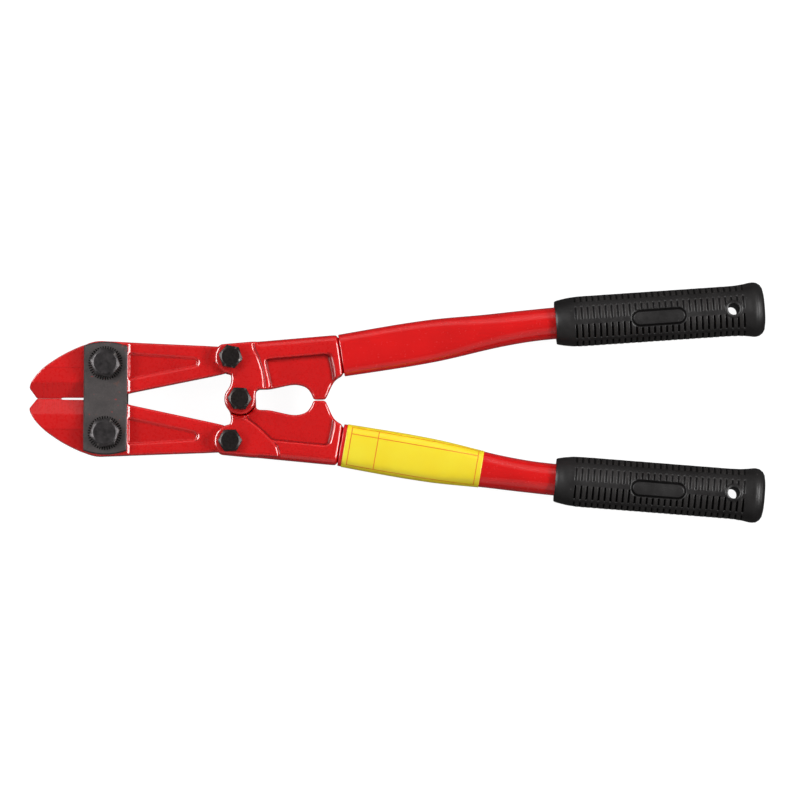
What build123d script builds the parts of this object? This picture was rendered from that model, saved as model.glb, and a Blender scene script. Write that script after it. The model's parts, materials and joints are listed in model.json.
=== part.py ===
from build123d import *
import math
import os

os.makedirs("parts", exist_ok=True)

# ---------------------------------------------------------------- dimensions
# millimetres; centre bolt axis at the plan origin, mid-plane of the tool at z = 0,
# jaws towards -X, handles towards +X, the upper half of the tool at +Y

# pivots (upper half; the lower half is its turn about X)
JAW_PIVOT = (-69.5, 18.1)
LINK_PIVOT = (-4.8, 21.7)

# fasteners
JAW_BOLT_R = 4.0
JAW_BOLT_AF = 14.0
JAW_HEAD_H = 5.5
JAW_NUT_H = 5.0
LINK_BOLT_R = 3.175
LINK_BOLT_AF = 11.0
LINK_HEAD_H = 4.4
LINK_NUT_H = 4.5
WASHER_H = 1.6
LINK_WASHER_H = 1.3
RUN = 0.05            # running clearance on radius
THREAD = 0.02         # clearance of a nut on its thread
OPEN_LINK_R = 4.9     # bore of the upper jaw tail: the loop of links is opened here

# half thicknesses
PAD_Z = 4.5           # cutting end of a jaw and its pad between the cover plates
TAIL_Z = 3.6          # jaw tail
POCKET_Z = 2.2        # floor of the jaw tail pocket
TONGUE_Z = 2.75       # jaw tongue in the fork
SLOT_Z = 2.9          # fork slot
EAR_Z = 6.8           # fork and lap faces of a lever head
RIM_Z = 5.5           # rim of a lever head
WEB_Z = 3.2           # floor of the lever head pocket
LAP_Z = 0.06          # half gap at the lap

# cover plate
PLATE_W = 22.4
PLATE_HALF_H = 29.2
PLATE_CORNER = 27.1
PLATE_T = 3.0
PLATE_GAP = 0.1
SERRATIONS = 40
SERR_IN, SERR_OUT, SERR_DEPTH, SERR_W = 6.8, 8.85, 0.6, 0.58

# jaw
EDGE_GAP = 0.06       # cutting edge to centreline
EDGE_LAND = 0.7       # half height of the flat on the cutting edge
FACET = 0.19          # fall of the outer facet across the jaw
SLIT = 0.5            # relief behind the cutting edges
BEVEL_Y = 8.4         # plan width of the cutting bevel
HEEL_GAP = 0.15
TONGUE_R = 7.2
FORK_ROOM_R = 10.3    # thinned round the ear
FORK_RAMP_R = 13.3

# lever head
EAR_R = 8.5
LAP_R = 8.1
LAP_ROOM_R = 8.5
SLOT_R = 9.8
STOP_GAP = 0.28

# handle
AXIS_SLOPE = 9.52     # of the tube at the head
GRIP_SLOPE = 4.2      # of the grip
BEND_FROM, BEND_TO = 126.0, 178.0
TUBE_START = (52.3, 23.2)
TUBE_END_X = 245.0
TUBE_WALL = 1.6
TANG_LEN = 38.0
GRIP_FROM, GRIP_TO = 163.2, 271.2
GRIP_R = 12.95
GRIP_FLARE_R = 14.3
HANG_X = 254.9
HANG_R = 3.0
LABEL_FROM, LABEL_TO = 54.2, 125.0
LABEL_IN, LABEL_OUT = 0.10, 0.30

BOTTOM_Z = GRIP_FLARE_R


# ---------------------------------------------------------------- helpers
def poly(points):
    return make_face(Polyline(*points, close=True))


def slab(face, z0, z1):
    """Plan face made solid between two heights."""
    return Pos(0, 0, z0) * extrude(face, z1 - z0, dir=(0, 0, 1))


def along_y(points_xz, y0, y1):
    """Closed XZ outline made solid between two Y positions."""
    f = make_face(Polyline(*[(x, y0, z) for x, z in points_xz], close=True))
    return extrude(f, y1 - y0, dir=(0, 1, 0))


def along_x(points_yz, x0, x1):
    f = make_face(Polyline(*[(x0, y, z) for y, z in points_yz], close=True))
    return extrude(f, x1 - x0, dir=(1, 0, 0))


def pin(centre, r, z0, z1):
    return Pos(centre[0], centre[1], (z0 + z1) / 2) * Cylinder(r, z1 - z0)


def flip(shape):
    """Half turn about X: the upper piece becomes the lower one."""
    return Rot(180, 0, 0) * shape


def save(shape, name, shift):
    out = Pos(*shift) * shape
    out.label = name
    export_step(out, "parts/" + name + ".step")


# ---------------------------------------------------------------- jaw
def make_jaw(link_bore_r):
    px, py = JAW_PIVOT
    lx, ly = LINK_PIVOT
    nose = (-109.0, 5.2)
    top = (-72.5, 29.95)
    shoulder = (-9.2, 27.4)
    under = (-5.05, ly - 7.2)
    heel_r = py - HEEL_GAP
    heel_dx = math.sqrt(heel_r ** 2 - (py - SLIT) ** 2)
    edges = [
        Line((-105.2, EDGE_GAP), nose),
        Spline(nose, (-108.5, 7.3), (-107.4, 9.4), (-106.1, 11.3), (-104.0, 13.7), (-101.9, 15.75),
               (-99.9, 17.4), (-97.8, 18.9), (-95.7, 20.35), (-91.6, 22.9), (-87.4, 25.1),
               (-83.3, 27.0), (-79.2, 28.55), (-77.1, 29.2), (-75.0, 29.7), top),
        Line(top, shoulder),
        ThreePointArc(shoulder, (lx + TONGUE_R, ly), under),
        Line(under, (-9.5, 13.0)),
        Line((-9.5, 13.0), (-56.1, 3.26)),
        Line((-56.1, 3.26), (px + heel_dx, SLIT)),
        ThreePointArc((px + heel_dx, SLIT), (px, HEEL_GAP), (px - heel_dx, SLIT)),
        Line((px - heel_dx, SLIT), (-92.0, SLIT)),
        Line((-92.0, SLIT), (-92.6, EDGE_GAP)),
        Line((-92.6, EDGE_GAP), (-105.2, EDGE_GAP)),
    ]
    jaw = slab(make_face(edges), -PAD_Z, PAD_Z)

    # step down from the pad to the tail
    side = along_y([(-58.0, PAD_Z), (-56.9, TAIL_Z), (20, TAIL_Z), (20, 9), (-58.0, 9)], -1, 40)
    # cutting bevel and the outer facet, both run out under the cover plate
    bevel = along_x([(-1, EDGE_LAND), (EDGE_GAP, EDGE_LAND), (BEVEL_Y, PAD_Z), (BEVEL_Y, 9), (-1, 9)],
                    -115, -80.2)
    outer = along_x([(16.1, PAD_Z), (34, PAD_Z - 17.9 * FACET), (34, 9), (16.1, 9)], -115, -79.7)
    pocket = slab(poly([(-57.6, 23.4), (-24.0, 21.2), (-22.4, 20.5), (-21.7, 19.1), (-22.4, 17.7),
                        (-24.0, 17.0), (-57.6, 10.2)]), POCKET_Z, 9)
    room = Pos(lx, ly, 0) * revolve(
        make_face(Polyline((0, 0, TONGUE_Z), (FORK_ROOM_R, 0, TONGUE_Z),
                           (FORK_RAMP_R, 0, TAIL_Z + 0.05), (FORK_RAMP_R, 0, 9), (0, 0, 9), close=True)),
        Axis.Z, 360)
    for tool in (side, bevel, outer, pocket, room):
        jaw = jaw - tool
        jaw = jaw - mirror(tool, Plane.XY)
    jaw = jaw - pin(JAW_PIVOT, JAW_BOLT_R + RUN, -9, 9)
    jaw = jaw - pin(LINK_PIVOT, link_bore_r, -9, 9)
    return jaw


# ---------------------------------------------------------------- cover plate
def make_plate():
    px, py = JAW_PIVOT
    h = PLATE_W / 2
    edges = [
        ThreePointArc((px - h, PLATE_CORNER), (px, PLATE_HALF_H), (px + h, PLATE_CORNER)),
        Line((px + h, PLATE_CORNER), (px + h, -PLATE_CORNER)),
        ThreePointArc((px + h, -PLATE_CORNER), (px, -PLATE_HALF_H), (px - h, -PLATE_CORNER)),
        Line((px - h, -PLATE_CORNER), (px - h, PLATE_CORNER)),
    ]
    z0 = PAD_Z + PLATE_GAP
    plate = slab(make_face(edges), z0, z0 + PLATE_T)
    plate = fillet(plate.edges().filter_by(Axis.Z), 1.0)
    plate = chamfer(plate.faces().sort_by(Axis.Z)[-1].edges(), 0.6)
    cuts = []
    for sy in (1, -1):
        plate = plate - pin((px, sy * py), JAW_BOLT_R + RUN, 0, 20)
        for i in range(SERRATIONS):
            cuts.append(Pos(px, sy * py, z0 + PLATE_T) * Rot(0, 0, 360.0 * i / SERRATIONS)
                        * Pos((SERR_IN + SERR_OUT) / 2, 0, 0)
                        * Box(SERR_OUT - SERR_IN, SERR_W, 2 * SERR_DEPTH))
    return plate - cuts


# ---------------------------------------------------------------- fasteners
def hexagon(af, z0, z1, top_r, both=False):
    """Hex prism with its corners turned down to top_r on the upper (and lower) face."""
    r_corner = af / math.sqrt(3)
    h = z1 - z0
    drop = (r_corner + 0.1 - top_r) * 0.5
    body = extrude(RegularPolygon(r_corner, 6), h, dir=(0, 0, 1))
    if both:
        prof = [(0, 0), (top_r, 0), (r_corner + 0.1, drop), (r_corner + 0.1, h - drop), (top_r, h), (0, h)]
    else:
        prof = [(0, 0), (r_corner + 0.1, 0), (r_corner + 0.1, h - drop), (top_r, h), (0, h)]
    turn = revolve(make_face(Polyline(*[(x, 0, z) for x, z in prof], close=True)), Axis.Z, 360)
    return Pos(0, 0, z0) * (body & turn)


def make_bolt(centre, r, af, z_head, head_h, z_end, turn):
    head = hexagon(af, z_head, z_head + head_h, af * 0.415)
    shank = Pos(0, 0, (z_head + z_end) / 2) * Cylinder(r, z_head - z_end)
    shank = chamfer(shank.edges().sort_by(Axis.Z)[:1], 0.5)
    return Pos(centre[0], centre[1], 0) * Rot(0, 0, turn) * (head + shank)


def make_nut(centre, r, af, z0, z1, turn):
    nut = hexagon(af, z0, z1, af * 0.47, both=True)
    nut = nut - Pos(0, 0, (z0 + z1) / 2) * Cylinder(r + THREAD, z1 - z0 + 2)
    return Pos(centre[0], centre[1], 0) * Rot(0, 0, turn) * nut


def make_washer(centre, r, width, z0, z1, turn):
    ring = Cylinder(r + 0.15 + width, z1 - z0) - Cylinder(r + 0.15, z1 - z0 + 1)
    ring = ring - Pos(r + width / 2, 0, 0) * Rot(35, 0, 0) * Box(2 * width + 2, 0.7, 8)
    return Pos(centre[0], centre[1], (z0 + z1) / 2) * Rot(0, 0, turn) * ring


# ---------------------------------------------------------------- handle axis
def axis_angle(x):
    if x <= BEND_FROM:
        t = 0.0
    elif x >= BEND_TO:
        t = 1.0
    else:
        t = (x - BEND_FROM) / (BEND_TO - BEND_FROM)
    t = t * t * (3 - 2 * t)
    return math.radians(AXIS_SLOPE + (GRIP_SLOPE - AXIS_SLOPE) * t)


def axis_y(x):
    n = 400
    x0, y = TUBE_START
    dx = (x - x0) / n
    for i in range(n):
        y += math.tan(axis_angle(x0 + (i + 0.5) * dx)) * dx
    return y


def axis_plane(x):
    a = axis_angle(x)
    return Plane(origin=(x, axis_y(x), 0), x_dir=(-math.sin(a), math.cos(a), 0),
                 z_dir=(math.cos(a), math.sin(a), 0))


# plan width and thickness of the tube along its axis
STATIONS = [
    (52.3, 21.9, 11.5), (68.0, 22.35, 11.5), (83.8, 22.6, 11.6), (99.3, 22.1, 12.0),
    (108.0, 21.2, 12.6), (114.8, 20.2, 13.4), (121.0, 19.2, 14.2), (127.3, 18.3, 15.0),
    (133.5, 17.6, 15.7), (139.7, 17.1, 16.1), (146.0, 16.7, 16.35), (153.0, 16.42, 16.4),
    (162.0, 16.4, 16.4), (178.0, 16.4, 16.4), (TUBE_END_X, 16.4, 16.4),
]
CUTS = [52.3, 60, 68, 76, 83.8, 91.5, 99.3, 103.5, 108, 111.5, 114.8, 118, 121, 124.2, 127.3, 130.4, 133.5, 136.6,
        139.7, 142.8, 146, 149.5, 153, 157.5, 162, 166, 170, 174, 178, TUBE_END_X]
OVAL_POINTS = 24


def oval(x, w, t):
    """Closed section of the tube: a flattened round, a true round where w = t."""
    r = min(w, t) / 2
    flat = max(w, t) / 2 - r
    pts = []
    for i in range(OVAL_POINTS):
        u = 2 * math.pi * (i + 0.5) / OVAL_POINTS
        cx = flat * math.tanh(3.0 * math.cos(u)) / math.tanh(3.0)
        pts.append((cx + r * math.cos(u), r * math.sin(u)))
    return axis_plane(x) * make_face(Spline(*pts, periodic=True))


def width_at(x):
    """Width and thickness between stations, carried smoothly through them."""
    n = len(STATIONS)
    i = max(0, min(n - 2, max(j for j in range(n) if STATIONS[j][0] <= x + 1e-9)))

    def slope(j, c):
        lo, hi = max(0, j - 1), min(n - 1, j + 1)
        return (STATIONS[hi][c] - STATIONS[lo][c]) / (STATIONS[hi][0] - STATIONS[lo][0])

    xa, xb = STATIONS[i][0], STATIONS[i + 1][0]
    h = xb - xa
    u = (x - xa) / h
    out = []
    for c in (1, 2):
        ya, yb = STATIONS[i][c], STATIONS[i + 1][c]
        ma, mb = slope(i, c) * h, slope(i + 1, c) * h
        out.append((2 * u ** 3 - 3 * u ** 2 + 1) * ya + (u ** 3 - 2 * u ** 2 + u) * ma
                   + (3 * u ** 2 - 2 * u ** 3) * yb + (u ** 3 - u ** 2) * mb)
    return out


def tube_body(grow, past=0.0, first=0, last=None):
    st = []
    for x in CUTS[first:last]:
        w, t = width_at(x)
        st.append((x, w + 2 * grow, t + 2 * grow))
    if past:
        st = [(st[0][0] - past,) + st[0][1:]] + st + [(st[-1][0] + past,) + st[-1][1:]]
    return loft([oval(*q) for q in st], ruled=True)


def make_tube():
    return tube_body(0.0) - tube_body(-TUBE_WALL, past=3.0)


def make_label():
    film = tube_body(LABEL_OUT, last=16) - tube_body(LABEL_IN, past=3.0, last=16)
    a = axis_plane(LABEL_FROM)
    length = (LABEL_TO - LABEL_FROM) / math.cos(axis_angle(LABEL_FROM))
    band = a * Pos(0, 0, length / 2) * Box(60, 60, length)
    front = Pos(90, 30, 17 - 3.6) * Box(140, 80, 34)
    return film & band & front


# ---------------------------------------------------------------- grip
def make_grip():
    length = (GRIP_TO - GRIP_FROM) / math.cos(math.radians(GRIP_SLOPE))
    start = axis_plane(BEND_TO)
    back = (BEND_TO - GRIP_FROM) / math.cos(math.radians(GRIP_SLOPE))
    # straight grip on the straight end of the tube, carried back over the bend
    p = [(0, 0), (10.6, 0), (11.35, 0.8), (12.1, 4.0), (12.75, 8.0), (GRIP_R, 12.0),
         (GRIP_R, length - 18.5), (13.15, length - 13.5), (13.55, length - 9.6),
         (GRIP_FLARE_R - 0.1, length - 6.6), (GRIP_FLARE_R, length - 5.2), (13.9, length - 3.4),
         (12.6, length - 1.5), (10.6, length - 0.4), (8.0, length), (0, length)]
    prof = make_face(Polyline(*[(x, 0, z) for x, z in p], close=True))
    body = start * Pos(0, 0, -back) * revolve(prof, Axis.Z, 360)
    hole = Pos(HANG_X, axis_y(HANG_X), 0) * Cylinder(HANG_R, 60)
    return body - tube_body(0.03, past=0.1, first=20) - hole


# ---------------------------------------------------------------- lever head
def make_head():
    lx, ly = LINK_PIVOT
    ta = math.radians(AXIS_SLOPE)
    # outer line of the head
    o0, o1 = (-6.4, 28.75), (50.0, 33.9)
    ux, uy = o1[0] - o0[0], o1[1] - o0[1]
    ul = math.hypot(ux, uy)
    ux, uy = ux / ul, uy / ul
    # where the ear circle meets that line
    dx, dy = o0[0] - lx, o0[1] - ly
    b = dx * ux + dy * uy
    c = dx * dx + dy * dy - EAR_R ** 2
    k = -b - math.sqrt(b * b - c)
    ear_top = (o0[0] + k * ux, o0[1] + k * uy)
    ear_low = (lx - 0.3, ly - math.sqrt(EAR_R ** 2 - 0.09))
    lap_a = math.radians(152)
    lap_start = (LAP_R * math.cos(lap_a), LAP_R * math.sin(lap_a))
    shoulder_in = (53.2, 12.6)
    edges = [
        ThreePointArc(ear_top, (lx - EAR_R, ly), ear_low),
        Spline(ear_low, (-4.5, 10.7), (-4.8, 8.2), (-5.7, 5.8), lap_start),
        ThreePointArc(lap_start, (0, -LAP_R), (LAP_R, 0)),
        Line((LAP_R, 0), (8.2, 3.6)),
        Spline((8.2, 3.6), (8.8, 4.75), (12.3, 5.28), (18.5, 6.06), (24.7, 7.46), (28.6, 7.9),
               (31.6, 7.45), (34.2, 6.4), (36.0, 4.6), (37.9, STOP_GAP)),
        Line((37.9, STOP_GAP), (44.1, STOP_GAP)),
        Spline((44.1, STOP_GAP), (45.7, 3.6), (47.35, 7.3), (49.3, 10.3), shoulder_in),
        Line(shoulder_in, o1),
        Line(o1, ear_top),
    ]
    outline = make_face(edges)
    head = slab(outline, -RIM_Z, RIM_Z)

    # crowned outer edge of the rim
    r = 4.2
    n = (-uy, ux)
    corner = [(0.0 + 3, RIM_Z - r), (0, RIM_Z - r)] + [(-(r - r * math.cos(math.radians(90 * i / 8))),
              RIM_Z - (r - r * math.sin(math.radians(90 * i / 8)))) for i in range(1, 9)] + \
             [(-r, RIM_Z + 3), (3, RIM_Z + 3)]
    at = (9.0, o0[1] + (9.0 - o0[0]) * uy / ux)
    pl = Plane(origin=(at[0], at[1], 0), x_dir=(n[0], n[1], 0), z_dir=(ux, uy, 0))
    sgn = 1 if pl.y_dir.Z > 0 else -1
    crown = extrude(pl * make_face(Polyline(*[(a_, sgn * b_) for a_, b_ in corner], close=True)),
                    60, dir=(ux, uy, 0))
    head = head - crown - mirror(crown, Plane.XY)

    # raised fork and lap face in front
    front_pad = make_face([
        Polyline((5.4, 40), (6.9, 26.4), (9.5, 21.1), (11.7, 14.5), (12.6, 8.7), (12.7, 0),
                 (12.7, -12), (-20, -12), (-20, 40), (5.4, 40)),
    ])
    front_pad = front_pad & outline
    head = head + slab(front_pad, RIM_Z - 2.5, EAR_Z)
    # raised fork face behind
    step = [(-14, 7.0), (-3.9, 7.8), (0.3, 9.1), (4.2, 10.4), (8.2, 13.3), (12.2, 16.8),
            (16.1, 20.7), (19.3, 24.6), (20.4, 28.6)]
    rear_pad = poly(step + [(20.4, 29.9), (-20, 27.6), (-20, 7.0)]) & outline
    head = head + slab(rear_pad, -EAR_Z, -RIM_Z + 2.5)

    # front pocket, open towards the other head
    front_pocket = poly([(13.0, 20.0), (14.2, 20.9), (44.5, 23.7), (46.4, 22.6), (48.2, 14.4), (48.8, 9.0),
                         (48.4, 1.6), (45.0, 1.2), (44.6, -2), (20, -2), (14.4, -2), (15.9, 7.5)])
    head = head - slab(front_pocket, WEB_Z, 9)
    # rear pocket, up to the step of the fork, and room for the lap of the other head
    rear_pocket = poly([(4.2, 10.4), (8.2, 13.3), (12.2, 16.8), (16.1, 20.7), (18.6, 21.3), (44.5, 23.7),
                        (46.4, 22.6), (48.2, 14.4), (48.8, 9.0), (48.4, 1.6), (45.0, 1.2), (44.6, -2),
                        (3, -2), (3, 8)])
    head = head - slab(rear_pocket, -9, -WEB_Z)
    below = poly([(-14, 7.0), (-14, -14), (14, -14), (9.2, 0.5), (LAP_ROOM_R, 3)])
    head = head - slab(below, -9, -LAP_Z)
    head = head - pin((0, 0), LAP_ROOM_R, -9, LAP_Z)

    # fork slot
    slot = pin(LINK_PIVOT, SLOT_R, -SLOT_Z, SLOT_Z)
    head = head - slot
    # bores
    head = head - pin((0, 0), LINK_BOLT_R + RUN, -20, 20)
    head = head - pin(LINK_PIVOT, LINK_BOLT_R + RUN, -20, 20)

    # tang in the tube
    ax_dir = (math.cos(ta), math.sin(ta), 0)
    w0, t0 = width_at(TUBE_START[0])
    inset = 2 * (TUBE_WALL + 0.15)
    tang = extrude(oval(TUBE_START[0], w0 - inset, t0 - inset), TANG_LEN, dir=ax_dir) \
        + extrude(oval(TUBE_START[0], w0 - inset, t0 - inset), 3.0, dir=(-ax_dir[0], -ax_dir[1], 0))
    head = head + tang
    return head


# ---------------------------------------------------------------- build
upper_jaw = make_jaw(OPEN_LINK_R)
lower_jaw = flip(make_jaw(LINK_BOLT_R + RUN))
plate = make_plate()
head = make_head()
tube = make_tube()
grip = make_grip()

plate_top = PAD_Z + PLATE_GAP + PLATE_T
pj_u, pj_l = JAW_PIVOT, (JAW_PIVOT[0], -JAW_PIVOT[1])
pl_u, pl_l = LINK_PIVOT, (LINK_PIVOT[0], -LINK_PIVOT[1])
pc = (0, 0)

parts = {
    "upper_jaw": upper_jaw,
    "lower_jaw": lower_jaw,
    "front_cover_plate": plate,
    "rear_cover_plate": flip(plate),
    "upper_lever_head": head,
    "lower_lever_head": flip(head),
    "upper_handle_tube": tube,
    "lower_handle_tube": flip(tube),
    "upper_grip": grip,
    "lower_grip": flip(grip),
    "handle_label": mirror(make_label(), Plane.XZ),
}

jb = [("upper", pj_u, -11), ("lower", pj_l, 11)]
for side, at, turn in jb:
    z_nut = -plate_top - WASHER_H
    parts[side + "_jaw_bolt"] = make_bolt(at, JAW_BOLT_R, JAW_BOLT_AF, plate_top, JAW_HEAD_H, -BOTTOM_Z, turn)
    parts[side + "_jaw_nut"] = make_nut(at, JAW_BOLT_R, JAW_BOLT_AF, z_nut - JAW_NUT_H, z_nut, turn + 17)
    parts[side + "_jaw_washer"] = make_washer(at, JAW_BOLT_R, 2.6, z_nut, -plate_top, 60 + turn)

lb = [("upper_link", pl_u, -11, 0.0), ("lower_link", pl_l, 1, 0.0), ("centre", pc, -2.5, 0.1)]
for side, at, turn, gap in lb:
    z_nut = -EAR_Z - LINK_WASHER_H
    end = z_nut - LINK_NUT_H - 0.4
    parts[side + "_bolt"] = make_bolt(at, LINK_BOLT_R, LINK_BOLT_AF, EAR_Z + gap, LINK_HEAD_H, end, turn)
    parts[side + "_nut"] = make_nut(at, LINK_BOLT_R, LINK_BOLT_AF, z_nut - LINK_NUT_H, z_nut, turn + 23)
    parts[side + "_washer"] = make_washer(at, LINK_BOLT_R, 2.1, z_nut, -EAR_Z, 200 + turn)

# place the tool: middle of its length at x = 0, its underside at z = 0
boxes = [p.bounding_box() for p in parts.values()]
x0 = min(b.min.X for b in boxes)
x1 = max(b.max.X for b in boxes)
y0 = min(b.min.Y for b in boxes)
y1 = max(b.max.Y for b in boxes)
z0 = min(b.min.Z for b in boxes)
z1 = max(b.max.Z for b in boxes)
shift = (-(x0 + x1) / 2, -(y0 + y1) / 2, -z0)
for name, shape in parts.items():
    save(shape, name, shift)

print("size", round(x1 - x0, 3), round(y1 - y0, 3), round(z1 - z0, 3))
print("shift", [round(v, 4) for v in shift])
for name, at in (("centre", pc), ("upper_link", pl_u), ("lower_link", pl_l), ("upper_jaw", pj_u), ("lower_jaw", pj_l),
                 ("hang_upper", (HANG_X, axis_y(HANG_X))), ("hang_lower", (HANG_X, -axis_y(HANG_X)))):
    print(name, [round(at[0] + shift[0], 4), round(at[1] + shift[1], 4), round(shift[2], 4)])
for name, shape in parts.items():
    sol = shape.solids()
    print(name, len(sol), "solids", "valid" if all(s.is_valid for s in sol) else "INVALID",
          round(sum(s.volume for s in sol), 1))
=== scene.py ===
import json
import math

import bpy
import numpy as np
from mathutils import Matrix, Vector


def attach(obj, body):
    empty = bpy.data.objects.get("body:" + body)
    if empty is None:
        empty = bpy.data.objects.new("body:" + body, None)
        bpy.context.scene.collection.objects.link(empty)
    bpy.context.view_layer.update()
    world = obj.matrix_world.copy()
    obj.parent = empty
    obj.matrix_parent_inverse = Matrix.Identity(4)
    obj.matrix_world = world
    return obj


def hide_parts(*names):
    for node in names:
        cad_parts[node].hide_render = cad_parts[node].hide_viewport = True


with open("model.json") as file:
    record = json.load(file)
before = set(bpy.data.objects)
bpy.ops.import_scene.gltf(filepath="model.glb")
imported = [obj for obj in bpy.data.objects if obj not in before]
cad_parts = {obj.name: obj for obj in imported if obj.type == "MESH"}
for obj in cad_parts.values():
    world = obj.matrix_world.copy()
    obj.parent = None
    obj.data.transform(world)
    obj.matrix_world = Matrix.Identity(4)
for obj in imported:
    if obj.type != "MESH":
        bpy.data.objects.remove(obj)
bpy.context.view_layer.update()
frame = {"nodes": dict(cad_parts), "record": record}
nodes = frame["nodes"]
body_of = {n: b for b, names in frame["record"]["behaviour"]["bodies"].items() for n in names}

# plan origin of the drawing (centre bolt, mid-plane) in the row frame, millimetres
SX, SY, SZ = -81.393, 0.0, 14.3


def row(p):
    """Drawing millimetres to row-frame metres."""
    p = np.asarray(p, float)
    return (p + np.array([SX, SY, SZ])) / 1000.0


# ------------------------------------------------------------------ materials
def lin(c):
    return tuple(((v / 255) / 12.92 if v / 255 <= 0.04045 else ((v / 255 + 0.055) / 1.055) ** 2.4) for v in c) + (1.0,)


class Mat:
    def __init__(self, name):
        self.m = bpy.data.materials.new(name)
        self.m.use_nodes = True
        self.t = self.m.node_tree
        self.t.nodes.clear()
        self.out = self.t.nodes.new("ShaderNodeOutputMaterial")
        self.b = self.t.nodes.new("ShaderNodeBsdfPrincipled")
        self.t.links.new(self.b.outputs[0], self.out.inputs[0])
        self.co = self.t.nodes.new("ShaderNodeTexCoord")

    def node(self, kind, **kw):
        n = self.t.nodes.new(kind)
        for k, v in kw.items():
            setattr(n, k, v)
        return n

    def link(self, a, b):
        self.t.links.new(a, b)

    def set(self, **kw):
        for k, v in kw.items():
            self.b.inputs[k.replace("_", " ")].default_value = v

    def noise(self, scale, detail=3.0, rough=0.55, coords="Object", vec=None):
        n = self.node("ShaderNodeTexNoise")
        n.inputs["Scale"].default_value = scale
        n.inputs["Detail"].default_value = detail
        n.inputs["Roughness"].default_value = rough
        self.link(vec if vec is not None else self.co.outputs[coords], n.inputs["Vector"])
        return n.outputs["Fac"]

    def ramp(self, fac, stops):
        r = self.node("ShaderNodeValToRGB")
        e = r.color_ramp.elements
        while len(e) < len(stops):
            e.new(0.5)
        for el, (p, c) in zip(e, stops):
            el.position = p
            el.color = c if len(c) == 4 else tuple(c) + (1.0,)
        self.link(fac, r.inputs["Fac"])
        return r.outputs["Color"]

    def mix(self, fac, a, b):
        n = self.node("ShaderNodeMix", data_type="RGBA")
        for sock, v in ((n.inputs[0], fac), (n.inputs[6], a), (n.inputs[7], b)):
            if hasattr(v, "is_output"):
                self.link(v, sock)
            else:
                sock.default_value = v
        return n.outputs[2]

    def math(self, op, a, b=0.0, c=0.0, clamp=False):
        n = self.node("ShaderNodeMath", operation=op, use_clamp=clamp)
        for sock, v in zip(n.inputs, (a, b, c)):
            if hasattr(v, "is_output"):
                self.link(v, sock)
            else:
                sock.default_value = v
        return n.outputs[0]

    def rng(self, v, a, b, c, d):
        n = self.node("ShaderNodeMapRange", clamp=True)
        self.link(v, n.inputs["Value"])
        for k, x in zip(("From Min", "From Max", "To Min", "To Max"), (a, b, c, d)):
            n.inputs[k].default_value = x
        return n.outputs[0]

    def bump(self, heights, dist):
        prev = None
        for h, k in heights:
            n = self.node("ShaderNodeBump")
            n.inputs["Strength"].default_value = k
            n.inputs["Distance"].default_value = dist
            self.link(h, n.inputs["Height"])
            if prev is not None:
                self.link(prev, n.inputs["Normal"])
            prev = n.outputs[0]
        self.link(prev, self.b.inputs["Normal"])
        return prev


def enamel(name, rgb, forged=True):
    m = Mat(name)
    big = m.noise(55.0, 2.0, 0.5)
    fine = m.noise(650.0, 2.0, 0.5)
    wave = m.noise(150.0, 2.0, 0.5)
    base = m.mix(m.rng(big, 0.3, 0.7, 0.0, 1.0), lin([c * 0.97 for c in rgb]), lin([min(255, c * 1.025) for c in rgb]))
    # thin places in the coat and the odd dust nib
    spots = m.noise(900.0, 1.0, 0.4)
    base = m.mix(m.rng(spots, 0.72, 0.80, 0.0, 0.1), base, lin((130, 12, 14)))
    gloss = 0.85
    if forged:
        # painted shade: the colour darkens in inner corners, on recessed floors, along the jaw facet line, beside the
        # cover plate and in the upper head's pocket, where shade falls; the coat is thinner and duller there too
        at = m.node("ShaderNodeAttribute")
        at.attribute_name = "painted_shade"
        painted_nook_shade = m.rng(at.outputs["Fac"], 0.06, 0.42, 0.0, 1.0)
        base = m.mix(m.math("MULTIPLY", painted_nook_shade, 0.72), base, lin((92, 4, 8)))
        # ground bevels: a thinner, duller coat with the grinding lines under it
        at = m.node("ShaderNodeAttribute")
        at.attribute_name = "ground"
        thin = at.outputs["Fac"]
        sep = m.node("ShaderNodeSeparateXYZ")
        m.link(m.co.outputs["Object"], sep.inputs[0])
        comb = m.node("ShaderNodeCombineXYZ")
        m.link(m.math("MULTIPLY", sep.outputs[0], 1.0), comb.inputs[0])
        m.link(m.math("MULTIPLY", sep.outputs[1], 0.06), comb.inputs[1])
        lines = m.noise(1800.0, 2.0, 0.5, vec=comb.outputs[0])
        base = m.mix(m.math("MULTIPLY", thin, m.rng(lines, 0.3, 0.7, 0.04, 0.2)), base, lin((120, 14, 16)))
        left = m.math("MULTIPLY", m.math("SUBTRACT", 1.0, painted_nook_shade), m.math("SUBTRACT", 1.0, m.math("MULTIPLY", thin, 0.75)))
        m.link(m.math("MULTIPLY", left, gloss), m.b.inputs["Coat Weight"])
    else:
        m.b.inputs["Coat Weight"].default_value = gloss
    m.link(base, m.b.inputs["Base Color"])
    m.set(Metallic=0.0, IOR=1.5)
    m.b.inputs["Specular IOR Level"].default_value = 0.22 if forged else 0.36
    m.b.inputs["Coat Roughness"].default_value = 0.07
    m.b.inputs["Coat IOR"].default_value = 1.75 if forged else 1.5
    m.link(m.rng(fine, 0.3, 0.7, 0.24 if forged else 0.2, 0.34 if forged else 0.28), m.b.inputs["Roughness"])
    if forged:
        m.bump([(wave, 0.16), (fine, 0.03)], 0.0006)
    else:
        m.bump([(wave, 0.08), (fine, 0.02)], 0.0005)
    return m.m


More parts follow.
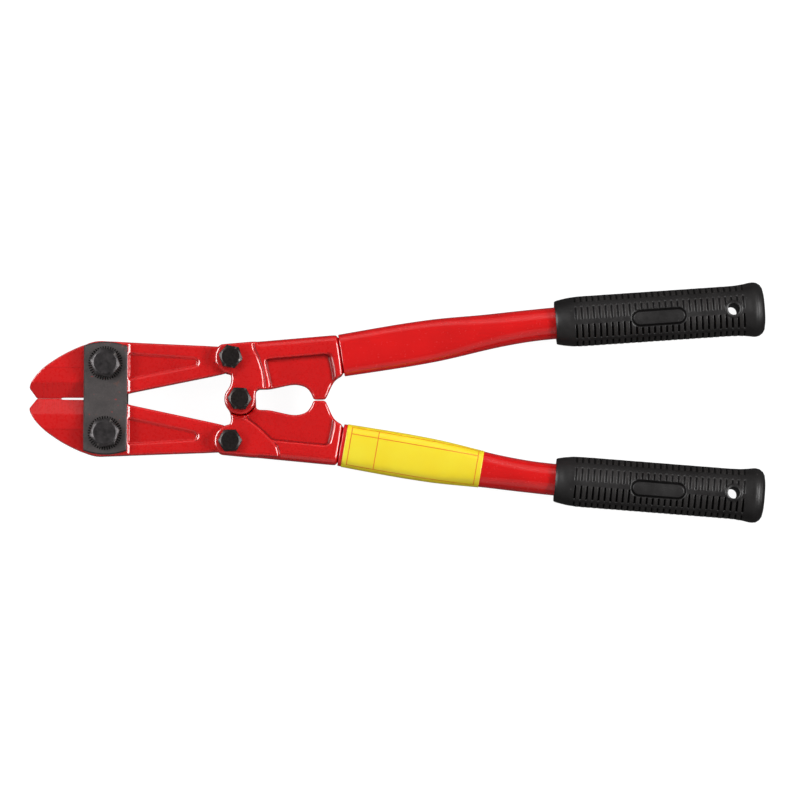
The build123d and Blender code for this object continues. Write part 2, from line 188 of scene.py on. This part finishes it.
def plate_mat():
    m = Mat("phosphate_plate")
    grain = m.noise(900.0, 4.0, 0.65)
    blot = m.noise(130.0, 3.0, 0.6)
    c = m.mix(m.rng(blot, 0.3, 0.7, 0.0, 1.0), lin((62, 57, 57)), lin((80, 74, 73)))
    c = m.mix(m.rng(grain, 0.35, 0.68, 0.0, 0.55), c, lin((48, 43, 43)))
    rust = m.noise(330.0, 2.0, 0.5)
    c = m.mix(m.rng(rust, 0.66, 0.72, 0.0, 0.55), c, lin((96, 62, 52)))
    fleck = m.noise(760.0, 0.0, 0.4)
    c = m.mix(m.rng(fleck, 0.815, 0.83, 0.0, 0.75), c, lin((170, 40, 38)))
    # round the bolts: painted shade in a dark ring and in the grooves between the teeth
    sep = m.node("ShaderNodeSeparateXYZ")
    m.link(m.co.outputs["Object"], sep.inputs[0])
    depth = m.math("SUBTRACT", 0.0076, m.math("ABSOLUTE", m.math("SUBTRACT", sep.outputs[2], SZ / 1000.0)))
    dx = m.math("SUBTRACT", sep.outputs[0], (-69.5 + SX) / 1000.0)
    dy = m.math("SUBTRACT", m.math("ABSOLUTE", sep.outputs[1]), 0.0181)
    rad = m.math("SQRT", m.math("ADD", m.math("MULTIPLY", dx, dx), m.math("MULTIPLY", dy, dy)))
    painted_tooth_shade = m.math("MULTIPLY", m.rng(depth, 0.00003, 0.00012, 0.0, 1.0), m.math("LESS_THAN", rad, 0.0094))
    # a dark ring round each bolt head: painted shade, with some grime
    c = m.mix(m.rng(rad, 0.0082, 0.0094, 0.35, 0.0), c, lin((26, 23, 23)))
    # near black in the tooth grooves, below the top face: painted shade
    c = m.mix(painted_tooth_shade, c, lin((8, 7, 7)))
    m.link(c, m.b.inputs["Base Color"])
    m.set(Metallic=0.35)
    m.link(m.rng(painted_tooth_shade, 0.0, 1.0, 0.5, 0.06), m.b.inputs["Specular IOR Level"])
    m.link(m.rng(grain, 0.3, 0.7, 0.42, 0.6), m.b.inputs["Roughness"])
    m.bump([(grain, 0.25), (blot, 0.2)], 0.0003)
    return m.m


def bolt_mat(name, dark, light, rough):
    m = Mat(name)
    grain = m.noise(1100.0, 3.0, 0.6)
    blot = m.noise(260.0, 3.0, 0.6)
    c = m.mix(m.rng(blot, 0.3, 0.7, 0.0, 1.0), lin(dark), lin(light))
    geo = m.node("ShaderNodeNewGeometry")
    worn = m.rng(geo.outputs["Pointiness"], 0.52, 0.62, 0.0, 0.5)
    c = m.mix(worn, c, lin((120, 114, 110)))
    m.link(c, m.b.inputs["Base Color"])
    m.set(Metallic=0.55)
    m.link(m.rng(grain, 0.3, 0.7, rough - 0.07, rough + 0.1), m.b.inputs["Roughness"])
    m.bump([(grain, 0.18)], 0.0003)
    return m.m


def rubber_mat():
    m = Mat("grip_rubber")
    grain = m.noise(1500.0, 4.0, 0.6)
    cloud = m.noise(70.0, 3.0, 0.6)
    c = m.mix(m.rng(cloud, 0.3, 0.7, 0.0, 1.0), lin((22, 20, 20)), lin((30, 28, 28)))
    # painted shade: dark and dull in the grooves and the badge cut line; painted highlight: a little paler on the rib
    # tops between them
    at = m.node("ShaderNodeAttribute")
    at.attribute_name = "groove"
    painted_groove_shade = m.rng(at.outputs["Fac"], 0.1, 0.6, 0.0, 1.0)
    c = m.mix(m.rng(at.outputs["Fac"], -0.4, 0.0, 0.12, 0.0), c, lin((84, 79, 77)))
    c = m.mix(m.math("MULTIPLY", painted_groove_shade, 0.92), c, lin((6, 5, 5)))
    dust = m.noise(620.0, 1.0, 0.4)
    c = m.mix(m.rng(dust, 0.76, 0.8, 0.0, 0.3), c, lin((96, 92, 90)))
    m.link(c, m.b.inputs["Base Color"])
    m.link(m.rng(painted_groove_shade, 0.0, 1.0, 0.36, 0.06), m.b.inputs["Specular IOR Level"])
    m.link(m.rng(cloud, 0.3, 0.7, 0.36, 0.5), m.b.inputs["Roughness"])
    m.bump([(grain, 0.15)], 0.0004)
    return m.m


def label_mat(length):
    m = Mat("label_film")
    uv = m.node("ShaderNodeUVMap")
    sep = m.node("ShaderNodeSeparateXYZ")
    m.link(uv.outputs[0], sep.inputs[0])
    u, v = sep.outputs[0], sep.outputs[1]

    def line(coord, at, half):
        return m.math("LESS_THAN", m.math("ABSOLUTE", m.math("SUBTRACT", coord, at)), half)

    def within(coord, a, b):
        return m.math("MULTIPLY", m.math("GREATER_THAN", coord, a), m.math("LESS_THAN", coord, b))

    w = 0.23
    u0, u1, v0, v1 = 2.7, length - 2.7, -10.3, 10.3
    inu, inv = within(u, u0 - w, u1 + w), within(v, v0 - w, v1 + w)
    parts = [
        m.math("MULTIPLY", m.math("MAXIMUM", line(u, u0, w), line(u, u1, w)), inv),
        m.math("MULTIPLY", m.math("MAXIMUM", line(v, v0, w), line(v, v1, w)), inu),
        m.math("MULTIPLY", line(v, 6.4, w), inu),
        m.math("MULTIPLY", line(u, u0 + 14.0, w), inv),
    ]
    ink = parts[0]
    for p in parts[1:]:
        ink = m.math("MAXIMUM", ink, p)
    cloud = m.noise(60.0, 2.0, 0.5)
    film = m.mix(m.rng(cloud, 0.3, 0.7, 0.0, 1.0), lin((254, 225, 34)), lin((255, 233, 48)))
    c = m.mix(ink, film, lin((240, 122, 26)))
    m.link(c, m.b.inputs["Base Color"])
    fine = m.noise(500.0, 2.0, 0.5)
    m.link(m.rng(fine, 0.3, 0.7, 0.3, 0.42), m.b.inputs["Roughness"])
    m.bump([(fine, 0.05)], 0.0003)
    return m.m


RED = (222, 22, 23)
M_FORGED = enamel("red_enamel_forged", RED, True)
M_TUBE = enamel("red_enamel_tube", (225, 22, 23), False)
M_PLATE = plate_mat()
M_JAWBOLT = bolt_mat("jaw_bolt_steel", (32, 29, 30), (66, 62, 63), 0.36)
M_LINKBOLT = bolt_mat("link_bolt_black", (30, 25, 24), (43, 36, 35), 0.32)
M_RUBBER = rubber_mat()


def use(obj, mat):
    obj.data.materials.clear()
    obj.data.materials.append(mat)


# ------------------------------------------------------------------ mesh helpers
def new_object(name, verts, faces, smooth=True):
    me = bpy.data.meshes.new(name)
    me.from_pydata([tuple(v) for v in verts], [], [tuple(int(i) for i in f) for f in faces])
    me.validate()
    me.update()
    if smooth:
        me.polygons.foreach_set("use_smooth", np.ones(len(me.polygons), bool))
    o = bpy.data.objects.new(name, me)
    bpy.context.scene.collection.objects.link(o)
    return o


def node_arrays(name):
    o = nodes[name]
    me = o.data
    v = np.empty(len(me.vertices) * 3)
    me.vertices.foreach_get("co", v)
    v = v.reshape(-1, 3)
    mw = np.array(o.matrix_world)
    v = v @ mw[:3, :3].T + mw[:3, 3]
    f = [tuple(p.vertices) for p in me.polygons]
    return v, f


def stand_in(obj, node):
    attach(obj, body_of[node])
    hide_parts(node)
    return obj


def forged(node, slot, voxel, rounds, hold):
    """A forging: the CAD form rebuilt as an even skin whose edges are then worn round."""
    v, f = node_arrays(node)
    raw = new_object(node + "_raw", v, f, smooth=False)
    wd = raw.modifiers.new("weld", "WELD")
    wd.merge_threshold = 2e-6
    rm = raw.modifiers.new("skin", "REMESH")
    rm.mode = "VOXEL"
    rm.voxel_size = voxel
    rm.adaptivity = 0.0
    dg = bpy.context.evaluated_depsgraph_get()
    me = bpy.data.meshes.new_from_object(raw.evaluated_get(dg))
    n = len(me.vertices)
    p = np.empty(n * 3)
    me.vertices.foreach_get("co", p)
    p = p.reshape(-1, 3)
    e = np.empty(len(me.edges) * 2, int)
    me.edges.foreach_get("vertices", e)
    e = e.reshape(-1, 2)
    a, b = e[:, 0], e[:, 1]
    deg = np.maximum(np.bincount(a, minlength=n) + np.bincount(b, minlength=n), 1)
    keep = hold((p * 1000.0) - np.array([SX, SY, SZ]))
    nrm = np.empty(n * 3)
    for i in range(rounds):
        if i % 4 == 2:
            me.vertices.foreach_set("co", p.ravel())
            me.update()
            me.vertices.foreach_get("normal", nrm)
        s = np.stack([np.bincount(a, p[b, k], n) + np.bincount(b, p[a, k], n) for k in range(3)], 1) / deg[:, None]
        d = s - p
        if i < 2:
            w = np.full(n, 0.5)
        else:
            # outer corners wear round, inner corners stay tighter
            w = 0.5 * keep * np.where((d * nrm.reshape(-1, 3)).sum(1) < 0, 1.0, 0.12)
        p = p + d * w[:, None]
    if "jaw" in node:
        # the flats of the cutting edges lie where they are drawn
        q = p * 1000.0 - np.array([SX, SY, SZ])
        side = 1.0 if q[:, 1].mean() > 0 else -1.0
        land = (np.abs(q[:, 2]) < 0.75) & (side * q[:, 1] < 0.8) & (q[:, 0] > -104.9) & (q[:, 0] < -92.6)
        p[land, 1] = (side * 0.06 + SY) / 1000.0
    me.vertices.foreach_set("co", p.ravel())
    me.polygons.foreach_set("use_smooth", np.ones(len(me.polygons), bool))
    me.update()
    # painted shade in inner corners: how far each place lies in an inner corner, from the bend of the skin over about
    # a millimetre
    me.vertices.foreach_get("normal", nrm)
    nn = nrm.reshape(-1, 3)
    s = np.stack([np.bincount(a, p[b, k], n) + np.bincount(b, p[a, k], n) for k in range(3)], 1) / deg[:, None]
    bend = ((s - p) * nn).sum(1) / voxel
    bend = 0.55 * bend + 0.45 * (np.bincount(a, bend[b], n) + np.bincount(b, bend[a], n)) / deg
    painted_shade = np.clip(bend / (0.34 if "jaw" in node else 0.12), 0.0, 1.0)
    # a little more painted shade on the pocket floors and along the jaw facet line, and a painted shadow of the cover
    # plate on the jaw beside it
    q = np.abs(p * 1000.0 - np.array([SX, SY, SZ]))
    flat = np.abs(nn[:, 2]) > 0.8
    if "jaw" in node:
        tip = smooth01((q[:, 0] - 80.0) / 0.8)
        painted_shade = np.maximum(painted_shade, 0.135 * flat * (q[:, 0] < 57.5) * (q[:, 2] < 2.4))
        painted_shade = np.maximum(painted_shade, tip * 0.2 * np.exp(-((q[:, 1] - 16.1) / 0.32) ** 2))
        # painted shadow of the cover plate on the jaw
        painted_shade = np.maximum(painted_shade, tip * 0.16 * smooth01((84.4 - q[:, 0]) / 3.6))
    else:
        painted_shade = np.maximum(painted_shade, 0.11 * flat * (q[:, 2] < 3.45))
    if node == "upper_lever_head":
        # more painted shadow under the top and end walls of this pocket
        here = p * 1000.0 - np.array([SX, SY, SZ])
        wall = np.array([(14.2, 20.9), (44.5, 23.7), (46.4, 22.6), (48.2, 14.4), (48.8, 9.0)])
        away = np.full(n, 9.0)
        for w0, w1 in zip(wall[:-1], wall[1:]):
            u = w1 - w0
            t = np.clip(((here[:, :2] - w0) @ u) / (u @ u), 0, 1)
            r = here[:, :2] - w0 - t[:, None] * u
            away = np.minimum(away, np.hypot(r[:, 0], r[:, 1]))
        below = here[:, 2] < np.where(here[:, 0] > 45.2, 5.47, 4.9)
        painted_shade = np.maximum(painted_shade, 0.31 * smooth01((2.6 - away) / 2.0) * (here[:, 2] > 2.9) * below)
    # the painted shade goes to the enamel as a point attribute
    at = me.attributes.new("painted_shade", "FLOAT", "POINT")
    at.data.foreach_set("value", painted_shade.astype(np.float32))
    # the ground bevels of the jaws, where the enamel is thin
    ground = smooth01((8.3 - q[:, 1]) / 0.4) * smooth01((q[:, 0] - 80.0) / 0.6) * ("jaw" in node)
    at = me.attributes.new("ground", "FLOAT", "POINT")
    at.data.foreach_set("value", ground.astype(np.float32))
    bpy.data.objects.remove(raw)
    o = bpy.data.objects.new(node + "_forging", me)
    bpy.context.scene.collection.objects.link(o)
    use(o, M_FORGED)
    return stand_in(o, node)


# ------------------------------------------------------------------ jaws and heads
def smooth01(x):
    x = np.clip(x, 0, 1)
    return x * x * (3 - 2 * x)


def hold_jaw(q):
    """1 = free to round, lower = held: the cutting end and the cutting edges stay crisper."""
    x, y, z = q[:, 0], np.abs(q[:, 1]), q[:, 2]
    k = np.ones(len(q))
    k[x < -81.5] = 0.12
    edge = (x < -80.0) & (y < 2.2)
    k[edge] = 0.12
    return k


def hold_head(q):
    return np.where(q[:, 0] > 46.0, 1.7, 1.0)


VOX = 0.00036
ROUNDS = 32
for n in ("upper_jaw", "lower_jaw"):
    forged(n, "red_enamel", VOX, ROUNDS, hold_jaw)
for n in ("upper_lever_head", "lower_lever_head"):
    forged(n, "red_enamel", VOX, ROUNDS + 2, hold_head)


# ------------------------------------------------------------------ handle axis, as drawn
AXIS_SLOPE, GRIP_SLOPE = 9.52, 4.2
BEND_FROM, BEND_TO = 126.0, 178.0
TUBE_START = (52.3, 23.2)
TUBE_END_X = 245.0
STATIONS = np.array([
    (52.3, 21.9, 11.5), (68.0, 22.35, 11.5), (83.8, 22.6, 11.6), (99.3, 22.1, 12.0), (108.0, 21.2, 12.6),
    (114.8, 20.2, 13.4), (121.0, 19.2, 14.2), (127.3, 18.3, 15.0), (133.5, 17.6, 15.7), (139.7, 17.1, 16.1),
    (146.0, 16.7, 16.35), (153.0, 16.42, 16.4), (162.0, 16.4, 16.4), (178.0, 16.4, 16.4), (TUBE_END_X, 16.4, 16.4)])


def axis_angle(x):
    t = np.clip((np.asarray(x, float) - BEND_FROM) / (BEND_TO - BEND_FROM), 0, 1)
    t = t * t * (3 - 2 * t)
    return np.radians(AXIS_SLOPE + (GRIP_SLOPE - AXIS_SLOPE) * t)


_xs = np.linspace(TUBE_START[0], 280, 4000)
_ys = TUBE_START[1] + np.concatenate([[0], np.cumsum(np.tan(axis_angle((_xs[1:] + _xs[:-1]) / 2)) * np.diff(_xs))])


def axis_y(x):
    return np.interp(x, _xs, _ys)


def hermite(x, table, c):
    xs, ys = table[:, 0], table[:, c]
    m = np.empty(len(xs))
    m[1:-1] = (ys[2:] - ys[:-2]) / (xs[2:] - xs[:-2])
    m[0] = (ys[1] - ys[0]) / (xs[1] - xs[0])
    m[-1] = (ys[-1] - ys[-2]) / (xs[-1] - xs[-2])
    i = np.clip(np.searchsorted(xs, x, side="right") - 1, 0, len(xs) - 2)
    h = xs[i + 1] - xs[i]
    u = (x - xs[i]) / h
    return ((2 * u ** 3 - 3 * u ** 2 + 1) * ys[i] + (u ** 3 - 2 * u ** 2 + u) * m[i] * h
            + (3 * u ** 2 - 2 * u ** 3) * ys[i + 1] + (u ** 3 - u ** 2) * m[i + 1] * h)


def ring(x, w, t, u):
    """Points of the tube section at x, for angles u from the across direction towards the front."""
    r = min(w, t) / 2
    flat = max(w, t) / 2 - r
    across = flat * np.tanh(3.0 * np.cos(u)) / np.tanh(3.0) + r * np.cos(u)
    up = r * np.sin(u)
    a = axis_angle(x)
    return np.stack([x - np.sin(a) * across, axis_y(x) + np.cos(a) * across, up], -1)


def flip(p):
    return p * np.array([1.0, -1.0, -1.0])


def mirror_y(p):
    return p * np.array([1.0, -1.0, 1.0])


def grid_faces(nu, nv, close_v=True, reverse=False):
    fs = []
    for i in range(nu - 1):
        for j in range(nv if close_v else nv - 1):
            j2 = (j + 1) % nv
            f = (i * nv + j, i * nv + j2, (i + 1) * nv + j2, (i + 1) * nv + j)
            fs.append(f[::-1] if reverse else f)
    return fs


def make_tube(node, turn):
    nseg = 96
    u = 2 * np.pi * np.arange(nseg) / nseg
    rows = []
    wall = 1.6
    for x, g in ((64.0, -wall), (52.5, -wall), (52.3, -wall + 0.25), (52.3, -0.3), (52.42, -0.08)):
        w, t = float(hermite(np.array(max(x, 52.3)), STATIONS, 1)), float(hermite(np.array(max(x, 52.3)), STATIONS, 2))
        rows.append(ring(x, w + 2 * g, t + 2 * g, u))
    for x in np.concatenate([np.arange(52.7, 180, 0.8), [200.0, 225.0, TUBE_END_X]]):
        w, t = float(hermite(np.array(x), STATIONS, 1)), float(hermite(np.array(x), STATIONS, 2))
        rows.append(ring(x, w, t, u))
    p = np.array(rows)
    nu = len(rows)
    f = grid_faces(nu, nseg)
    f.append(tuple(range(nseg)))
    f.append(tuple(range((nu - 1) * nseg, nu * nseg))[::-1])
    p = turn(p.reshape(-1, 3))
    o = new_object(node + "_skin", row(p), f)
    orient(o)
    use(o, M_TUBE)
    return stand_in(o, node)


def orient(o):
    import bmesh
    bm = bmesh.new()
    bm.from_mesh(o.data)
    bmesh.ops.recalc_face_normals(bm, faces=bm.faces)
    bm.to_mesh(o.data)
    bm.free()


make_tube("upper_handle_tube", lambda p: p)
make_tube("lower_handle_tube", flip)


# ------------------------------------------------------------------ label film
def make_label():
    x0, x1 = 54.2, 125.0
    length = (x1 - x0) / math.cos(math.radians(AXIS_SLOPE))
    nx, nv = 150, 121
    rows_o, rows_i, uvs = [], [], []
    for x in np.linspace(x0, x1, nx):
        w, t = float(hermite(np.array(x), STATIONS, 1)), float(hermite(np.array(x), STATIONS, 2))
        # angles so that the film reaches a little past the sides, towards the back
        ue = np.arcsin(np.clip(-3.5 / (t / 2 + 0.2), -1, 1))
        fine = np.linspace(ue, np.pi - ue, 800)
        q = ring(x, w + 0.5, t + 0.5, fine)
        d = np.concatenate([[0], np.cumsum(np.linalg.norm(np.diff(q, axis=0), axis=1))])
        mid = np.interp(np.pi / 2, fine, d)
        s = np.linspace(0, d[-1], nv)
        uu = np.interp(s, d, fine)
        rows_o.append(ring(x, w + 0.5, t + 0.5, uu))
        rows_i.append(ring(x, w + 0.26, t + 0.26, uu))
        uvs.append(np.stack([np.full(nv, (x - x0) / math.cos(math.radians(AXIS_SLOPE))), -(s - mid)], -1))
    po, pi = np.array(rows_o).reshape(-1, 3), np.array(rows_i).reshape(-1, 3)
    uv = np.array(uvs).reshape(-1, 2)
    n = len(po)
    f = grid_faces(nx, nv, close_v=False)
    fi = [tuple(i + n for i in q)[::-1] for q in f]
    rim = []
    for i in range(nx - 1):
        rim.append((i * nv, (i + 1) * nv, (i + 1) * nv + n, i * nv + n))
        rim.append((i * nv + nv - 1, i * nv + nv - 1 + n, (i + 1) * nv + nv - 1 + n, (i + 1) * nv + nv - 1))
    for j in range(nv - 1):
        rim.append((j, j + n, j + 1 + n, j + 1))
        k = (nx - 1) * nv
        rim.append((k + j, k + j + 1, k + j + 1 + n, k + j + n))
    p = mirror_y(np.concatenate([po, pi]))
    o = new_object("handle_label_film", row(p), f + fi + rim)
    orient(o)
    lay = o.data.uv_layers.new(name="film_mm")
    uv2 = np.concatenate([uv, uv])
    uv2[:, 1] *= -1.0
    idx = np.empty(len(o.data.loops), int)
    o.data.loops.foreach_get("vertex_index", idx)
    lay.data.foreach_set("uv", uv2[idx].ravel())
    use(o, label_mat(length))
    return stand_in(o, "handle_label")


make_label()


# ------------------------------------------------------------------ grips
GRIP_FROM, GRIP_TO = 163.2, 271.2
HANG_X = 254.9


def make_grip(node, turn, front_sign):
    ca = math.cos(math.radians(GRIP_SLOPE))
    sa = math.sin(math.radians(GRIP_SLOPE))
    length = (GRIP_TO - GRIP_FROM) / ca
    back = (BEND_TO - GRIP_FROM) / ca
    origin = np.array([BEND_TO - back * ca, float(axis_y(BEND_TO)) - back * sa, 0.0])
    prof = np.array([(0.0, 11.0), (0.8, 11.4), (4.0, 12.1), (8.0, 12.7), (12.0, 12.92), (16.0, 12.95),
                     (length - 18.5, 12.95), (length - 13.5, 13.1), (length - 9.6, 13.55), (length - 6.6, 14.1),
                     (length - 5.0, 14.22), (length - 3.2, 13.8), (length - 1.5, 12.6), (length - 0.5, 11.0),
                     (length, 8.5)])
    ds = 0.24
    nphi = 288
    s = np.concatenate([np.arange(0.0, length - 3.2, ds), length - np.array([3.2, 2.7, 2.2, 1.8, 1.5, 1.2, 0.9, 0.7, 0.5, 0.35, 0.2, 0.08, 0.0])])
    r0 = np.interp(s, prof[:, 0], prof[:, 1])
    # soften the joins of the profile
    ker = np.exp(-0.5 * (np.arange(-8, 9) / 3.0) ** 2)
    ker /= ker.sum()
    body = s < length - 4.0
    rs = np.convolve(np.pad(r0, 8, mode="edge"), ker, mode="valid")
    r0 = np.where(body & (s > 2.0), rs, r0)
    phi = 2 * np.pi * np.arange(nphi) / nphi          # 0 = front, towards +Y
    S, PHI = np.meshgrid(s, phi, indexing="ij")
    R = np.repeat(r0[:, None], nphi, 1)
    sh = (HANG_X - GRIP_FROM) / ca

    def relief(sv, ph, rv):
        """Depth of the moulded pattern, and the painted shade of each place down in a groove or cut line (or the
        painted highlight up on a rib).
        """
        deg = np.degrees((ph + np.pi) % (2 * np.pi) - np.pi)
        front = np.cos(ph) > 0
        fold = np.where(front, deg, np.sign(deg) * 180 - deg)   # same pattern on both faces, -90..90
        fold = front_sign * fold + 6.0                          # sits a few degrees round from the front

        def band(a, b, soft=1.6):
            return smooth01((fold - a) / soft + 0.5) * smooth01((b - fold) / soft + 0.5)

        rows_mask = np.maximum.reduce([0.8 * band(6, 38), band(-42, -6), 0.8 * band(54, 84, 3.0), 0.8 * band(-82, -52, 3.0)])
        first, pitch, count = 10.4, 3.1, 29
        k = np.clip(np.round((sv - first) / pitch), 0, count - 1)
        d = sv - (first + k * pitch)
        groove = np.exp(-(np.abs(d) / 0.42) ** 3)
        rib = np.where((sv > first) & (sv < first + (count - 1) * pitch), np.exp(-((np.abs(d) - 1.1) / 0.5) ** 2), 0.0)
        # badge outline and hang-hole boss on both faces
        sb, hl, hh = 53.2, 13.75, 3.9
        yb = rv * np.sin(np.radians(fold + 1.0))
        sd = np.sqrt(np.maximum(np.abs(sv - sb) - (hl - hh), 0) ** 2 + yb ** 2) - hh
        sd = np.where(np.abs(fold) < 60, sd, 9.0)
        dh = np.sqrt((sv - sh) ** 2 + (rv * np.sin(ph)) ** 2)
        clear = smooth01((sd - 0.75) / 0.5) * smooth01((dh - 4.5) / 0.8)
        cut = groove * rows_mask * clear
        # a cut line round the badge
        line = smooth01((0.55 - np.abs(sd)) / 0.4 + 0.5)
        out = -0.8 * cut + 0.12 * rib * rows_mask * clear
        out = out - 0.35 * line + 0.3 * np.exp(-((dh - 3.9) / 0.55) ** 2)
        # painted shade in the grooves and the badge cut line, lighter where fold is above zero for the way light falls
        # there, and a painted highlight on the rib tops
        relief_shade_and_highlight = smooth01(1.5 * cut) * np.where(fold > 0, 0.42, 1.0) + line - 0.5 * rib * rows_mask * clear * (cut < 0.1)
        return out, relief_shade_and_highlight

    R = R + relief(S, PHI, R)[0]
    # shallow handling marks
    R = R + 0.03 * np.sin(S * 0.9 + 2 * PHI) * np.sin(S * 0.37 + 3 * PHI)

    def place(sv, rv, ph):
        across, up = rv * np.sin(ph), rv * np.cos(ph)
        return np.stack([origin[0] + sv * ca - sa * across, origin[1] + sv * sa + ca * across, up], -1)

    rows = [place(np.full(nphi, 6.0), np.full(nphi, 8.25), phi), place(np.full(nphi, 0.3), np.full(nphi, 8.25), phi),
            place(np.full(nphi, 0.0), np.full(nphi, 8.6), phi), place(np.full(nphi, -0.02), np.full(nphi, 10.2), phi)]
    for i in range(len(s)):
        rows.append(place(S[i], R[i], phi))
    for q in (0.7, 0.4, 0.15):
        rows.append(place(np.full(nphi, length + 0.05 * (1 - q)), R[-1] * q, phi))
    nu = len(rows)
    p = np.array(rows).reshape(-1, 3)
    f = grid_faces(nu, nphi)
    f.append(tuple(range(nphi)))
    f.append(tuple(range((nu - 1) * nphi, nu * nphi))[::-1])
    o = new_object(node + "_sleeve", row(turn(p)), f)
    orient(o)
    # hanging hole
    hx = np.array([[HANG_X, float(axis_y(HANG_X)), 0.0]])
    hp = row(turn(hx))[0]
    bpy.ops.mesh.primitive_cylinder_add(vertices=64, radius=0.0030, depth=0.06, location=tuple(hp))
    drill = bpy.context.object
    bo = o.modifiers.new("hole", "BOOLEAN")
    bo.operation = "DIFFERENCE"
    bo.object = drill
    bo.solver = "EXACT"
    dg = bpy.context.evaluated_depsgraph_get()
    me = bpy.data.meshes.new_from_object(o.evaluated_get(dg))
    o.modifiers.clear()
    old = o.data
    o.data = me
    bpy.data.meshes.remove(old)
    bpy.data.objects.remove(drill)
    use(o, M_RUBBER)
    o.data.polygons.foreach_set("use_smooth", np.ones(len(o.data.polygons), bool))
    n = len(o.data.vertices)
    q = np.empty(n * 3)
    o.data.vertices.foreach_get("co", q)
    q = turn(q.reshape(-1, 3) * 1000.0 - np.array([SX, SY, SZ])) - origin
    along, across = q[:, 0] * ca + q[:, 1] * sa, q[:, 1] * ca - q[:, 0] * sa
    relief_shade_and_highlight = relief(along, np.arctan2(across, q[:, 2]), np.interp(along, s, r0))[1]
    skin = np.hypot(across, q[:, 2]) > 8.9
    # the groove attribute carries the painted shade of the grooves and the painted highlight of the ribs
    at = o.data.attributes.new("groove", "FLOAT", "POINT")
    at.data.foreach_set("value", np.where(skin, relief_shade_and_highlight, 0.0).astype(np.float32))
    sm = o.modifiers.new("edges", "EDGE_SPLIT")
    sm.split_angle = math.radians(50)
    return stand_in(o, node)


make_grip("upper_grip", lambda p: p, 1)
make_grip("lower_grip", flip, -1)


# ------------------------------------------------------------------ plates and fasteners keep their CAD form
def soften(name, mat, width, segs=2):
    o = nodes[name]
    use(o, mat)
    wd = o.modifiers.new("weld", "WELD")
    wd.merge_threshold = 2e-6
    dc = o.modifiers.new("plain", "DECIMATE")
    dc.decimate_type = "DISSOLVE"
    dc.angle_limit = math.radians(1.0)
    bv = o.modifiers.new("edges", "BEVEL")
    bv.width = width
    bv.segments = segs
    bv.limit_method = "ANGLE"
    bv.angle_limit = math.radians(24)
    bv.harden_normals = True
    return o


for n in ("front_cover_plate", "rear_cover_plate"):
    soften(n, M_PLATE, 0.00012, 1)
for n in nodes:
    if n.endswith(("_bolt", "_nut", "_washer")):
        soften(n, M_JAWBOLT if "jaw" in n else M_LINKBOLT, 0.0002)


# ------------------------------------------------------------------ stage
def plain(name, rgb, rough, glow=0.0):
    m = Mat(name)
    m.set(Roughness=rough)
    m.b.inputs["Base Color"].default_value = rgb
    if glow:
        m.b.inputs["Emission Color"].default_value = (1, 1, 1, 1)
        m.b.inputs["Emission Strength"].default_value = glow
    return m.m


floor = new_object("floor", [(-6, -6, -0.0003), (6, -6, -0.0003), (6, 6, -0.0003), (-6, 6, -0.0003)], [(0, 1, 2, 3)], smooth=False)
use(floor, plain("pale_floor", (0.14, 0.14, 0.14, 1.0), 0.9, 0.95))
floor.visible_glossy = False
floor.visible_diffuse = False

scene = bpy.context.scene
scene.view_settings.view_transform = "Standard"
world = bpy.data.worlds.new("studio")
scene.world = world
world.use_nodes = True
bg = world.node_tree.nodes["Background"]
bg.inputs["Color"].default_value = (1.0, 1.0, 1.0, 1.0)
bg.inputs["Strength"].default_value = 0.07


def area(name, loc, target, size, energy, size_y):
    """Soft box facing the tool; size runs level, size_y up the tilt."""
    d = bpy.data.lights.new(name, "AREA")
    d.energy = energy
    d.shape = "RECTANGLE"
    d.size = size
    d.size_y = size_y
    o = bpy.data.objects.new(name, d)
    scene.collection.objects.link(o)
    o.location = loc
    o.rotation_mode = "QUATERNION"
    o.rotation_quaternion = (Vector(target) - Vector(loc)).to_track_quat("-Z", "Y")
    return o


def only(o, diffuse, glossy):
    o.visible_diffuse, o.visible_glossy = diffuse, glossy
    return o


# broad light for the body of the colour, two tall boxes at the ends for the shine on the edges
only(area("left", (-1.15, 0.1, 0.95), (0, 0, 0), 1.2, 7.0, 0.36), True, False)
only(area("right", (1.25, 0.05, 0.95), (0, 0, 0), 1.2, 16.0, 0.36), True, False)
only(area("far", (0.0, 1.4, 1.05), (0, 0, 0), 1.8, 17.0, 0.4), True, False)
only(area("near", (0.0, -1.4, 0.6), (0, 0, 0), 2.2, 4.5, 0.4), True, False)
only(area("left_box", (-1.12, 0.26, 1.0), (0, 0, 0), 1.15, 32.0, 0.8), False, True)
only(area("right_box", (1.2, 0.05, 1.0), (0, 0, 0), 1.3, 36.0, 0.8), False, True)
only(area("far_box", (0.0, 1.5, 0.9), (0, 0, 0), 3.0, 4.9, 1.6), False, True)
only(area("near_box", (0.0, -1.5, 0.85), (0, 0, 0), 3.0, 4.3, 1.8), False, True)

cam_d = bpy.data.cameras.new("camera")
cam = bpy.data.objects.new("camera", cam_d)
scene.collection.objects.link(cam)
cam_d.sensor_width = 36.0
cam_d.lens = 222.4
target = Vector((0.0014, 0.0003, 0.0143))
el = math.radians(86.0)
back = Vector((0.0, -math.cos(el), math.sin(el)))
dist = 0.4144 * 222.4 / 36.0
cam.location = target + back * dist
cam.rotation_mode = "QUATERNION"
cam.rotation_quaternion = (-back).to_track_quat("-Z", "Y") @ Matrix.Rotation(math.radians(0.3), 4, "Z").to_quaternion()
cam_d.clip_start, cam_d.clip_end = 0.05, 50.0
scene.camera = cam
